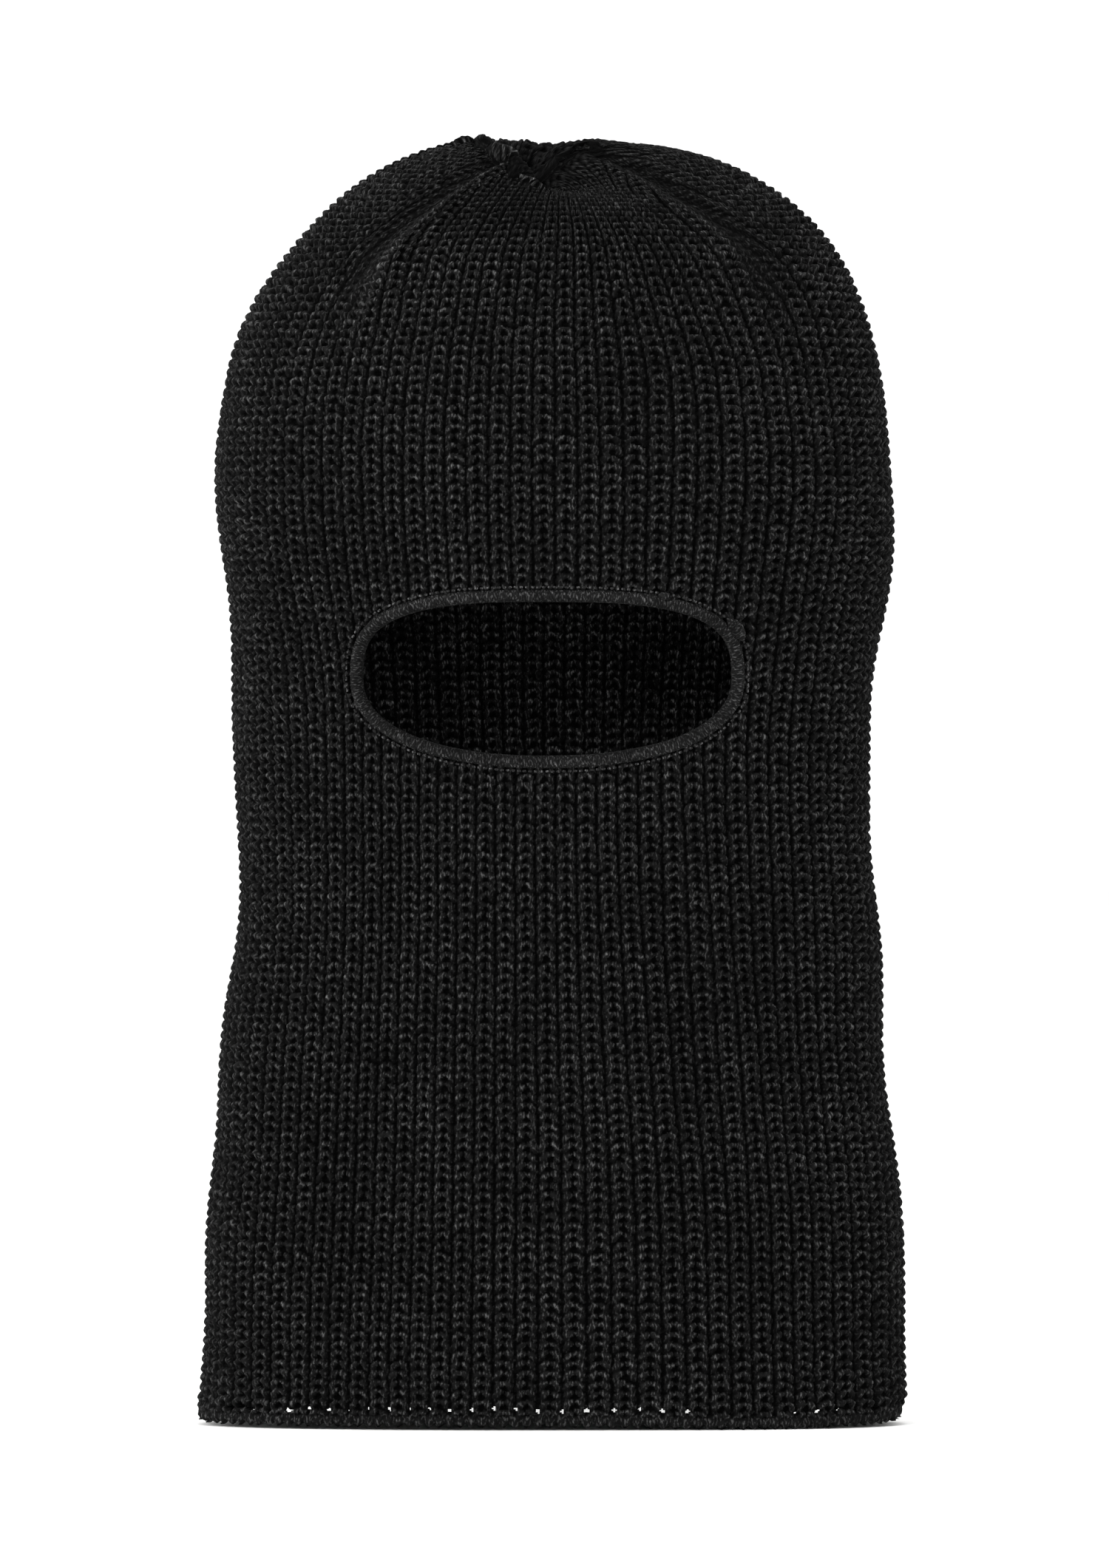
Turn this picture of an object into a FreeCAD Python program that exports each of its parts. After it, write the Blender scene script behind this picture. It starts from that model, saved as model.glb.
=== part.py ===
import FreeCAD, Part
import math
import os

# A one-hole balaclava in chunky 1x1 rib, standing on its neck edge as if lightly stuffed.
# Millimetres. +Z is up and the face looks towards -Y. The origin is the middle of the neck edge, at its foot.
# Left and right are the wearer's, so the wearer's left is +X.

# Overall form. Widths run along X and depths along Y, over the outside of the ribs.
height = 403.0
hem_width = 222.0
hem_depth = 64.0
waist_drop = 203.0  # from the top down to the narrowest part of the neck
waist_width = 199.0
waist_depth = 70.0
head_width = 211.0
head_depth = 96.0
dome_rise = 103.0  # from the widest line of the head up to the crown
wall = 3.5  # thickness of the rib knit

# How full the curves are: 2 is an ellipse, and more is squarer.
section_power = 2.4
dome_width_powers = (1.8, 2.8)
dome_depth_powers = (2.0, 2.2)

# Crown: four darts draw the tube in to a gathered point.
crown_rise = 60.0  # how far the darts run down from the top
dart_angle = 24.0  # of each dart from the X axis, seen from above
seam_depth = 5.0
seam_thickness = 4.0
gather_radius = 7.0
gather_depth = 5.0

# Eye opening, in the front only, and the rolled overlock edging round it.
eye_width = 115.0
eye_tall = 47.5
eye_drop = 170.5  # from the top down to the middle of the opening
eye_aside = -2.2  # the opening sits a little to the wearer's right
eye_power_above = 3.0  # its upper half is squarer than its lower half
eye_power_below = 2.2
edging_width = 3.7
edging_proud = 1.0  # how far the roll stands out from the knit, inside and outside
needle_gap = 0.5
needle_width = 1.0
needle_proud = 0.7
lap_width = 5.5
lap_tall = 8.0
lap_proud = 1.2  # how far the lapped thread ends stand out from the roll
lap_bearing = 36.0  # round the oval from the wearer's left, before the oval is flattened

# The neck edge is a firmer welt, knitted first.
welt_tall = 7.0
welt_proud = 0.6

# Where the tube is shared out between the throat and the face, below the opening.
throat_gap = 12.0

head_height = height - dome_rise
waist_height = height - waist_drop
crown_base = height - crown_rise
eye_height = height - eye_drop
throat_top = eye_height - eye_tall / 2 - edging_width - throat_gap

# Where the surface is shaped: shares of each stretch of the tube, and degrees up the dome.
neck_steps = (0, 0.25, 0.5, 0.75, 1)
head_steps = (0.33, 0.66, 1)
dome_steps = (16, 30, 43, 55, 65, 73, 79, 84, 87.5)
section_points = 32
below = 10.0  # how far the solids that are trimmed run past the neck edge
reach = 2 * max(height, hem_width, head_width)


def ease(share):
    return (1 - math.cos(math.pi * share)) / 2


def body_size(z, hem, waist, head):
    # A size of the tube at a height at or under the widest line of the head.
    if z <= 0:
        return hem
    if z <= waist_height:
        return hem + (waist - hem) * ease(z / waist_height)
    return waist + (head - waist) * ease((z - waist_height) / (head_height - waist_height))


def oval_points(half_a, half_b, power_above, power_below):
    # Points round a superellipse: those of an ellipse, each moved straight out from the middle.
    points = []
    for i in range(section_points):
        angle = 2 * math.pi * i / section_points
        c = math.cos(angle)
        s = math.sin(angle)
        power = power_above if s > 0 else power_below
        out = (abs(c) ** power + abs(s) ** power) ** (-1 / power)
        points.append((half_a * c * out, half_b * s * out))
    return points


def closed_curve(points):
    # Every curve has the same even knots, so that a surface through several of them stays light.
    knots = [i / section_points for i in range(section_points + 1)]
    curve = Part.BSplineCurve()
    curve.interpolate(Points=points, PeriodicFlag=True, Parameters=knots)
    return Part.Wire([curve.toShape()])


def section(z, width, depth, inset):
    outline = oval_points(width / 2 - inset, depth / 2 - inset, section_power, section_power)
    return closed_curve([FreeCAD.Vector(x, y, z) for x, y in outline])


def hood(inset):
    # The whole form as one solid, inset from the outside of the ribs. A negative inset makes it larger.
    sections = [section(-below, hem_width, hem_depth, inset)]
    levels = [waist_height * share for share in neck_steps]
    levels += [waist_height + (head_height - waist_height) * share for share in head_steps]
    for z in levels:
        width = body_size(z, hem_width, waist_width, head_width)
        depth = body_size(z, hem_depth, waist_depth, head_depth)
        sections.append(section(z, width, depth, inset))
    for degrees in dome_steps:
        share = math.sin(math.radians(degrees))
        z = head_height + share * (dome_rise - inset)
        p, q = dome_width_powers
        width = (head_width - 2 * inset) * (1 - share ** p) ** (1 / q)
        p, q = dome_depth_powers
        depth = (head_depth - 2 * inset) * (1 - share ** p) ** (1 / q)
        sections.append(section(z, width, depth, 0))
    return Part.makeLoft(sections, True, False)


def slab(z_low, z_high):
    return Part.makeBox(reach, reach, z_high - z_low, FreeCAD.Vector(-reach / 2, -reach / 2, z_low))


def front_half(z_low, z_high):
    return Part.makeBox(reach, reach / 2, z_high - z_low, FreeCAD.Vector(-reach / 2, -reach / 2, z_low))


def back_half(z_low, z_high):
    return Part.makeBox(reach, reach / 2, z_high - z_low, FreeCAD.Vector(-reach / 2, 0, z_low))


def wedge(from_degrees, to_degrees, z_low, z_high):
    # The part of a slab between two bearings about the Z axis.
    corners = [FreeCAD.Vector(0, 0, z_low)]
    for degrees in (from_degrees, (from_degrees + to_degrees) / 2, to_degrees):
        bearing = math.radians(degrees)
        corners.append(FreeCAD.Vector(reach * math.cos(bearing), reach * math.sin(bearing), z_low))
    corners.append(corners[0])
    return Part.Face(Part.makePolygon(corners)).extrude(FreeCAD.Vector(0, 0, z_high - z_low))


def eye_prism(grow):
    # The eye opening's oval, grown all round, as a prism through the front of the mask only.
    outline = oval_points(eye_width / 2 + grow, eye_tall / 2 + grow, eye_power_above, eye_power_below)
    points = [FreeCAD.Vector(x + eye_aside, -reach / 2, z + eye_height) for x, z in outline]
    return Part.Face(closed_curve(points)).extrude(FreeCAD.Vector(0, reach / 2, 0))


def save(name, shape):
    solids = shape.Solids
    if len(solids) != 1 or not solids[0].isValid() or solids[0].Volume <= 0:
        raise ValueError(f"{name} came out as {len(solids)} solids")
    solids[0].exportStep(f"parts/{name}.step")
    box = solids[0].BoundBox
    print(f"{name}: {solids[0].Volume:.0f} mm3, {box.XLength:.1f} x {box.YLength:.1f} x {box.ZLength:.1f}")


os.makedirs("parts", exist_ok=True)

outside = hood(0)
inside = hood(wall)
knit = outside.cut(inside)
print(f"knit tube: {knit.Volume:.0f} mm3")

# Neck welt: a little thicker than the rib that is knitted on from it, with a flat foot.
welt = hood(-welt_proud).cut(hood(wall + welt_proud)).common(slab(0, welt_tall))
save("hem_welt", welt)

# Neck, between the welt and the eye opening.
save("neck_front", knit.common(front_half(welt_tall, throat_top)))
save("neck_back", knit.common(back_half(welt_tall, throat_top)))

# Head, with the eye opening cut in its front to take the edging.
edging_outline = eye_prism(edging_width)
save("head_front", knit.common(front_half(throat_top, crown_base)).cut(edging_outline))
save("head_back", knit.common(back_half(throat_top, crown_base)))

# Crown gores, one between each pair of darts, left open in the middle for the gather.
gather_post = Part.makeCylinder(gather_radius, 2 * height)
gores = {
    "left": (-dart_angle, dart_angle),
    "back": (dart_angle, 180 - dart_angle),
    "right": (180 - dart_angle, 180 + dart_angle),
    "front": (180 + dart_angle, 360 - dart_angle),
}
crown = knit.common(slab(crown_base, height + below)).cut(gather_post)
for side, (start, end) in gores.items():
    save(f"crown_gore_{side}", crown.common(wedge(start, end, crown_base - below, height + 2 * below)))

# Dart seams: the overlocked allowance of each dart, a ridge on the inside of the crown.
seam_zone = inside.cut(hood(wall + seam_depth)).common(slab(crown_base, height)).cut(gather_post)
seams = {
    "back_left": dart_angle,
    "back_right": 180 - dart_angle,
    "front_right": 180 + dart_angle,
    "front_left": -dart_angle,
}
for side, bearing in seams.items():
    ridge = Part.makeBox(reach, seam_thickness, height, FreeCAD.Vector(0, -seam_thickness / 2, crown_base))
    ridge.rotate(FreeCAD.Vector(0, 0, 0), FreeCAD.Vector(0, 0, 1), bearing)
    save(f"crown_seam_{side}", seam_zone.common(ridge))

# Gather: the drawn-up middle of the crown with its knot of thread on the inside.
knot_zone = outside.cut(hood(wall + gather_depth)).common(slab(crown_base, height + below))
save("crown_gather", knot_zone.common(gather_post))

# Eye edging: a dense roll of overlock thread that wraps the cut edge, inside and outside.
roll_outside = hood(-edging_proud)
roll_ring = edging_outline.cut(eye_prism(0))
save("eye_edging", roll_ring.common(roll_outside).cut(hood(wall + edging_proud)))

# Lap: the lump where the roll of thread starts and ends.
bearing = math.radians(lap_bearing)
out = (math.cos(bearing) ** eye_power_above + math.sin(bearing) ** eye_power_above) ** (-1 / eye_power_above)
lap_x = eye_aside + (eye_width + edging_width) / 2 * math.cos(bearing) * out
lap_z = eye_height + (eye_tall + edging_width) / 2 * math.sin(bearing) * out
lap_points = oval_points(lap_width / 2, lap_tall / 2, 2, 2)
lap_curve = closed_curve([FreeCAD.Vector(lap_x + x, -reach / 2, lap_z + z) for x, z in lap_points])
lap_prism = Part.Face(lap_curve).extrude(FreeCAD.Vector(0, reach / 2, 0)).common(roll_ring)
save("eye_edging_lap", lap_prism.common(hood(-edging_proud - lap_proud)).cut(roll_outside))

# Needle stitching: the line of thread that holds the edging, on the face of the knit.
line_start = edging_width + needle_gap
line_ring = eye_prism(line_start + needle_width).cut(eye_prism(line_start))
save("eye_needle_stitching", line_ring.common(hood(-needle_proud)).cut(outside))
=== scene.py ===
import bpy
import math
import numpy as np
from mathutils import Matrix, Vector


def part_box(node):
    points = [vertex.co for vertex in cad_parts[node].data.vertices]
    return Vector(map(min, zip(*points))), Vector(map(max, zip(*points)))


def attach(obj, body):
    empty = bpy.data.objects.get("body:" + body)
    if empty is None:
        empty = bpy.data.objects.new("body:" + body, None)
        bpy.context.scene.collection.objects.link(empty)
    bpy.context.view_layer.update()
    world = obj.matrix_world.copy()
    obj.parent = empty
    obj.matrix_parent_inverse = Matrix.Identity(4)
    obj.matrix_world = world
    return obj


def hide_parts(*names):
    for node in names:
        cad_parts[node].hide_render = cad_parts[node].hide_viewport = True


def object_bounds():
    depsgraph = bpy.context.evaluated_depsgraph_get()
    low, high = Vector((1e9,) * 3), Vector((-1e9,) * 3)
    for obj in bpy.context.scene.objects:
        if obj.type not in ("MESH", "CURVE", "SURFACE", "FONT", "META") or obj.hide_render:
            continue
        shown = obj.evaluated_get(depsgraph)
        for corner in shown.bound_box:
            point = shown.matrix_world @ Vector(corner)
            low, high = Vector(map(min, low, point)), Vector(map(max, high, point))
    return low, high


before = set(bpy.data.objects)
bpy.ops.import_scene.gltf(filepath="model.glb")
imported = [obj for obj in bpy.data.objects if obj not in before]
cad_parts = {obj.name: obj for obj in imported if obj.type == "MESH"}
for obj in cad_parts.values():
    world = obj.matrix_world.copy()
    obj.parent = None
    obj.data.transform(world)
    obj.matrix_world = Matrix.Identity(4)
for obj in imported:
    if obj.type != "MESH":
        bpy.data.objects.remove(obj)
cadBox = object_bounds()
mm = 0.001
turn = 2 * math.pi
print("frame loaded")


def cadCorners(node):
    low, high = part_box(node)
    return np.array(low) / mm, np.array(high) / mm


# Form of the mask, in mm. What the frame shows is read from it, and the rest is named here.
weltLow, weltHigh = cadCorners("hem_welt")
neckLow, neckHigh = cadCorners("neck_front")
headLow, headHigh = cadCorners("head_front")
edgeLow, edgeHigh = cadCorners("eye_edging")
height = cadCorners("crown_gather")[1][2]

form = {
    "waistHeight": 200.0,
    "waistWidth": 199.0,
    "waistDepth": 70.0,
    "domeRise": 103.0,  # widest line of the head up to the crown
    "sectionPower": 2.4,  # 2 is an ellipse, more is squarer
    "domeWidthPowers": (1.9, 2.9),
    "domeDepthPowers": (2.0, 2.2),
    "wall": 3.5,
    "edgingWidth": 3.7,
    "eyePowers": (3.0, 2.2),  # the eye opening is squarer above than below
    "crownAside": 2.6,  # the crown is fuller on the wearer's left
}
hemWidth = neckHigh[0] - neckLow[0]
weltProud = (weltHigh[0] - weltLow[0] - hemWidth) / 2
hemDepth = weltHigh[1] - weltLow[1] - 2 * weltProud
headWidth = headHigh[0] - headLow[0]
headDepth = -2 * headLow[1]
weltTall = weltHigh[2]
throatTop = neckHigh[2]
crownBase = headHigh[2]
headHeight = height - form["domeRise"]
eyeMiddle = ((edgeLow + edgeHigh) / 2)[[0, 2]]
eyeHalf = ((edgeHigh - edgeLow) / 2)[[0, 2]]  # to the outside of the edging

# The rib knit: 72 knit wales round the tube. Worn this way up, each stitch is an arch of two plump legs.
knit = {
    "ribs": 72,
    "ribPitch": 6.1,
    "coursePitch": 3.1,
    "columnsPerRib": 12,
    "rowsPerCourse": 6.5,
    "legRadius": 0.88,
    # Each leg's foot, shoulder and top: how far out from the rib's middle, and how far up.
    "leg": ((2.0, -0.65), (1.72, 0.95), (0.85, 1.6)),
    "legSink": (1.6, 0.05, 0.4),  # depth of each under the crest: the foot is behind the stitch below
    "valley": 2.4,  # depth between ribs
    # How far stitches differ from one another.
    "uneven": {"aside": 0.12, "up": 0.2, "radius": 0.07, "sink": 0.15, "light": 0.16},
    "hidden": 0.36,  # share of light lost per mm under the crest
    "insidePaintedLight": 2.5,  # painted light: the stitches' insides are made paler, so that the back wall seen through the eye opening looks lit
    "insideContrast": 1.7,
    "seed": 7,
}
ribCount = knit["ribs"]
backSide = ribCount // 2  # rib at the wearer's left side, where the back starts
frontMiddle, backMiddle = ribCount // 4, ribCount * 3 // 4

# The crown: four darts, drawn up to a puckered point a little in front of the top.
crown = {
    "dartRibs": (8, 28, 44, 64),  # the ribs that the darts follow, counted from the wearer's right side
    "frontNarrow": 0.3,  # how much of the front gore's share of the girth is lost by the top
    "narrowRise": (62.0, 98.0),  # heights over the widest line between which that happens
    "sharpDart": 8,  # this dart's fold stands up crisp and catches the light, with a painted highlight along it; the others are soft creases with painted shade
    "creaseDepth": 3.2,
    "creaseRibs": 0.9,
    "foldRise": 2.6,
    "foldReach": (20.0, 46.0),  # half widths of the dome between which creases and folds come in
    "apexAside": -14.0,
    "asideReach": 24.0,
    "apexForward": -19.0,
    "apexReach": 40.0,
    "apexDrop": 1.4,
    "frontDip": 15.0,  # how far the middle of the front gore sags in towards the point
    "frontDipRibs": 10.0,
    "frontDipReach": (35.0, 98.0),  # half widths of the dome between which it comes in
    "pitDepth": 17.0,
    "pitReach": 11.0,
    "puckerReach": (20.0, 32.0),  # half widths between which the ribs give way to puckered stitches
    "gathers": 11,
    "gatherDepth": 0.9,
    "gatherReach": 22.0,
}


def ease(share):
    return (1 - np.cos(np.pi * share)) / 2


def smoothStep(x, start, end):
    t = np.clip((x - start) / (end - start), 0, 1)
    return t * t * (3 - 2 * t)


def tubeSize(z, hem, waist, head):
    low = hem + (waist - hem) * ease(np.clip(z / form["waistHeight"], 0, 1))
    share = np.clip((z - form["waistHeight"]) / (headHeight - form["waistHeight"]), 0, 1)
    return np.where(z <= form["waistHeight"], low, waist + (head - waist) * ease(share))


def domeSize(share, size, powers):
    return size * np.maximum(1 - share ** powers[0], 0) ** (1 / powers[1])


def rowsOfForm():
    # Height, half width and half depth of each row of the grid, a stitch's share apart.
    step = knit["coursePitch"] / knit["rowsPerCourse"]
    z = np.linspace(0, headHeight, int(headHeight / step) + 1)
    halfWidth = tubeSize(z, hemWidth, form["waistWidth"], headWidth) / 2
    halfDepth = tubeSize(z, hemDepth, form["waistDepth"], headDepth) / 2
    share = np.sin(np.linspace(0, math.radians(89.2), 4000))
    domeZ = headHeight + share * form["domeRise"]
    domeWidth = domeSize(share, headWidth / 2, form["domeWidthPowers"])
    domeDepth = domeSize(share, headDepth / 2, form["domeDepthPowers"])
    mean = (domeWidth + domeDepth) / 2
    run = np.concatenate([[0], np.cumsum(np.hypot(np.diff(mean), np.diff(domeZ)))])
    stops = np.arange(1, int(run[-1] / step) + 1) * step
    parts = [(z, domeZ), (halfWidth, domeWidth), (halfDepth, domeDepth)]
    return [np.concatenate([tube, np.interp(stops, run, dome)]) for tube, dome in parts]


def ribPlaces(z):
    # Where the ribs stand round a section, as shares of it: the front gore narrows faster than the others.
    darts = crown["dartRibs"]
    whole = (darts[1] - darts[0]) / 2
    start, end = crown["narrowRise"]
    half = whole * (1 - crown["frontNarrow"] * smoothStep(z, headHeight + start, headHeight + end))
    side = (whole - half) / 2
    moved = [side, frontMiddle - half, frontMiddle + half, *darts[2:], ribCount + side]
    return np.mod(np.interp(ribAt, [0, *darts, ribCount], moved) / ribCount, 1)


def sectionPoints(halfWidth, halfDepth, places):
    # Points round one section, from the wearer's right side by way of the front.
    angle = np.linspace(math.pi, 3 * math.pi, 721)
    c, s = np.cos(angle), np.sin(angle)
    power = form["sectionPower"]
    out = (np.abs(c) ** power + np.abs(s) ** power) ** (-1 / power)
    x, y = halfWidth * c * out, halfDepth * s * out
    run = np.concatenate([[0], np.cumsum(np.hypot(np.diff(x), np.diff(y)))])
    stops = places * run[-1]
    return np.interp(stops, run, x), np.interp(stops, run, y), run[-1]


def gridNormals(points):
    across = np.roll(points, -1, axis=1) - np.roll(points, 1, axis=1)
    up = np.gradient(points, axis=0)
    normal = np.cross(across, up)
    return normal / np.maximum(np.linalg.norm(normal, axis=2, keepdims=True), 1e-9)


columns = ribCount * knit["columnsPerRib"]
ribAt = np.arange(columns) / knit["columnsPerRib"]
rowZ, rowWidth, rowDepth = rowsOfForm()
rows = len(rowZ)
rowDepth = rowDepth + (0.7 * rowWidth - rowDepth) * np.exp(-(rowWidth / 14) ** 2)  # round at the point
base = np.zeros((rows, columns, 3))
girth = np.zeros(rows)
for r in range(rows):
    base[r, :, 0], base[r, :, 1], girth[r] = sectionPoints(rowWidth[r], rowDepth[r], ribPlaces(rowZ[r]))
    base[r, :, 2] = rowZ[r]
climb = np.zeros((rows, columns))
climb[1:] = np.cumsum(np.linalg.norm(np.diff(base, axis=0), axis=2), axis=0)  # cloth's length up to here
print("form:", rows, "rows by", columns, "columns")

# The crown's point leans forward into a pit, and the back of the crown stands up behind it.
toApex = np.exp(-(rowWidth / crown["apexReach"]) ** 2)[:, None]
base[:, :, 0] += crown["apexAside"] * np.exp(-(rowWidth / crown["asideReach"]) ** 2)[:, None]
base[:, :, 0] += form["crownAside"] * smoothStep(rowZ, headHeight + 30, headHeight + 80)[:, None]
base[:, :, 1] += crown["apexForward"] * toApex
base[:, :, 2] -= crown["apexDrop"] * toApex
dip = crown["frontDip"] * (1 - smoothStep(rowWidth, *crown["frontDipReach"])) * (rowZ > headHeight)
dip *= 1 - np.exp(-(rowWidth / 10) ** 2)
base[:, :, 2] -= dip[:, None] * np.exp(-(((ribAt - frontMiddle) / crown["frontDipRibs"]) ** 2))[None, :]
base[:, :, 2] -= crown["pitDepth"] * np.exp(-(rowWidth / crown["pitReach"]) ** 2)[:, None]

# Soft shape of the cloth, as a height along its normal: dart creases, folds, gathers and slight slackness.
softShape = {
    "creaseShade": 0.6,
    "sharpShade": 0.4,
    "sharpLight": 0.7,
    # Folds: rib and height at the middle, half width in ribs, half length, rise, ribs moved per mm up.
    "folds": [
        (21.5, 318, 1.6, 30, -3.2, -0.035),
        (24.5, 330, 1.8, 34, 2.6, -0.035),
        (24.0, 150, 1.5, 60, -3.0, -0.03),
        (26.8, 135, 1.6, 60, 2.2, -0.03),
        (9.5, 80, 2.2, 45, -2.0, 0.01),
        (12.0, 300, 2.5, 35, 1.2, 0.01),
    ],
    # Slackness: waves round the tube, height of one wave, depth, and where it starts.
    "slack": [
        (1, 96.0, 0.7, 0.3),
        (2, 71.0, 0.5, 2.1),
        (3, 133.0, 0.45, 4.0),
        (5, 58.0, 0.3, 1.2),
        (4, 210.0, 0.4, 5.2),
    ],
    # Painted shade in hollows, and painted light where the share is below nought: rib, half width in ribs,
    # height, half length, share of light lost.
    "shaded": [
        (25.5, 3.5, 140, 42, 0.28),
        (8, 4, 70, 30, 0.15),
        (22, 2.4, 314, 16, 0.3),
        (13, 5, 300, 30, -0.12),
        (16, 4, 382, 11, 0.35),
    ],
    "lumpRise": 0.7,  # of the small lumps round the point
    "lumpAt": 14.0,  # half width of the dome where they are tallest
    "lumpReach": 12.0,
    "fullness": 0.1,
}
inCrown = smoothStep(rowZ, crownBase - 8, crownBase + 22)[:, None]
ribWide = (girth / ribCount)[:, None]
relief = np.zeros((rows, columns))
foldShadeAndLight = np.ones((rows, columns))
foldCalm = np.zeros((rows, columns))
for dart in crown["dartRibs"]:
    away = np.mod(ribAt - dart + backSide, ribCount) - backSide
    inward = away if dart in crown["dartRibs"][::2] else -away  # ribs in from the dart
    sharp = dart == crown["sharpDart"]
    tall = inCrown * smoothStep(rowWidth, *crown["foldReach"])[:, None]
    crease = np.exp(-(((inward + 0.4) / crown["creaseRibs"]) ** 2))[None, :] * tall
    fold = np.exp(-(((inward - 1.0) / 0.8) ** 2))[None, :] * tall
    rise = crown["foldRise"] * (1.0 if sharp else 0.5)
    depth = crown["creaseDepth"] * (0.9 if sharp else 1.0)
    relief += rise * fold - depth * crease
    # Painted shade in each crease, and a painted highlight along the sharp fold.
    foldShadeAndLight *= 1 - softShape["sharpShade" if sharp else "creaseShade"] * crease
    if sharp:
        foldShadeAndLight *= 1 + softShape["sharpLight"] * np.exp(-(((inward - 0.7) / 0.4) ** 2))[None, :] * tall
    foldCalm = np.maximum(foldCalm, 0.7 * crease)
gatherStray = 0.15 * np.sin(turn * ribAt[None, :] / 18)  # the gathers aren't all as wide
pleat = np.cos(turn * (ribAt[None, :] / ribCount * crown["gathers"] + gatherStray))
pleatReach = np.exp(-(rowWidth / crown["gatherReach"]) ** 2) * (1 - np.exp(-(rowWidth / 6) ** 2))
relief += crown["gatherDepth"] * pleat * pleatReach[:, None]
for rib, z, wide, tall, rise, slope in softShape["folds"]:
    aslant = (ribAt[None, :] - rib - slope * (rowZ[:, None] - z)) / wide
    relief += rise * np.exp(-(aslant ** 2) - (((rowZ - z) / tall) ** 2)[:, None])
lumps = np.sin(base[:, :, 0] / 1.9 + 0.6) * np.sin(base[:, :, 1] / 2.3)
lumps = lumps + np.sin(base[:, :, 0] / 3.1 - base[:, :, 1] / 2.7)
lumpy = np.exp(-(((rowWidth - softShape["lumpAt"]) / softShape["lumpReach"]) ** 2)) * (rowZ > headHeight)
relief += softShape["lumpRise"] * lumps * lumpy[:, None]
for waves, tall, deep, start in softShape["slack"]:
    relief += deep * np.sin(turn * (waves * ribAt[None, :] / ribCount + rowZ[:, None] / tall) + start)
relief += softShape["fullness"]
cloth = base + gridNormals(base) * relief[:, :, None]
clothNormal = gridNormals(cloth)

# Where each point is in the knit: ribs counted round the tube, and courses counted up it.
course = climb / knit["coursePitch"]
drift = {
    "wander": 0.5,  # ribs by which they stray round the tube, so that their pitch varies
    "neckLean": 0.8,  # ribs by which those at the lower left of the front lean
    "crownLean": 3.0,  # and by which those at the front gore's left lean in to the point
    "swallow": 0.45,  # power of the girth that the ribs keep: the darts swallow the ribs at their sides
}
wander = drift["wander"] * (np.sin(turn * (ribAt - 10) / 36) + math.sin(turn * 10 / 36))
neckLean = np.exp(-(((ribAt - 24) / 6) ** 2))[None, :] * smoothStep(220 - rowZ, 0, 180)[:, None]
crownLean = np.exp(-(((ribAt - 25) / 5) ** 2))[None, :] * smoothStep(rowZ, 325, 395)[:, None]
ribPhase = ribAt[None, :] + wander[None, :] - drift["neckLean"] * neckLean + drift["crownLean"] * crownLean
ratio = np.minimum(girth / np.interp(crownBase, rowZ, girth), 1)
kept = np.where(rowZ > crownBase - 1, ratio ** drift["swallow"], 1.0)[:, None]
goreMiddles = np.array([0, frontMiddle, backSide, backMiddle, ribCount])
nearest = goreMiddles[np.searchsorted(np.array(crown["dartRibs"]), ribAt, side="right")]
middlePhase = ribPhase[:, nearest % ribCount * knit["columnsPerRib"]]
middlePhase = middlePhase + np.where(nearest == ribCount, ribCount, 0)
ribPhase = middlePhase + (ribPhase - middlePhase) * kept


def stitchRelief(rib, course, seed):
    # Height of the yarn under the ribs' crests, and its tone with painted shade, darker deeper down and at
    # each leg's edge: each stitch overlaps the one above.
    pick = np.random.default_rng(seed)
    uneven = knit["uneven"]
    courses = int(course.max()) + 4
    jitter = pick.normal(0, 1, (ribCount, courses, 2, 5))
    ribNumber = np.floor(rib).astype(int)
    courseNumber = np.floor(course).astype(int)
    across = (rib - ribNumber - 0.5) * knit["ribPitch"]
    height = np.full(rib.shape, -knit["valley"]) + 0.25 * np.cos(turn * course)
    tone = np.zeros(rib.shape)
    for above in (0, 1):
        number = np.clip(courseNumber + above, 0, courses - 1)
        up = (course - courseNumber - above) * knit["coursePitch"]
        for side in (0, 1):
            j = jitter[ribNumber % ribCount, number, side]
            x = across * (1 if side else -1) - uneven["aside"] * j[..., 0]
            y = up - uneven["up"] * j[..., 1]
            radius = knit["legRadius"] * (1 + uneven["radius"] * j[..., 2])
            light = 1 + uneven["light"] * j[..., 4]
            for part in (0, 1):
                (startX, startY), (endX, endY) = knit["leg"][part : part + 2]
                runX, runY = endX - startX, endY - startY
                offX, offY = x - startX, y - startY
                along = np.clip((offX * runX + offY * runY) / (runX ** 2 + runY ** 2), 0, 1)
                inside = radius ** 2 - (offX - runX * along) ** 2 - (offY - runY * along) ** 2
                sink = knit["legSink"][part] + (knit["legSink"][part + 1] - knit["legSink"][part]) * along
                sunk = sink - uneven["sink"] * np.minimum(j[..., 3], 0)
                leg = np.sqrt(np.maximum(inside, 0)) - radius - sunk
                wins = (inside > 0) & (leg > height)
                height = np.where(wins, leg, height)
                # Painted shade: darker towards each leg's edge and the deeper the leg lies, times a tone
                # that differs at random from stitch to stitch.
                edge = 0.2 + 0.8 * np.clip(inside / radius ** 2, 0, 1) ** 0.6
                tone = np.where(wins, np.clip(edge * (1 - knit["hidden"] * sink) * light, 0, 1.6), tone)
    return height, tone


fineness = np.clip(ribWide / 5.5, 0.25, 1)
crestRelief, crestToneAndShade = stitchRelief(ribPhase, course, knit["seed"])
insideRelief, insideToneAndShade = stitchRelief(ribPhase + 0.5, course + 0.5, knit["seed"] + 1)

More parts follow.
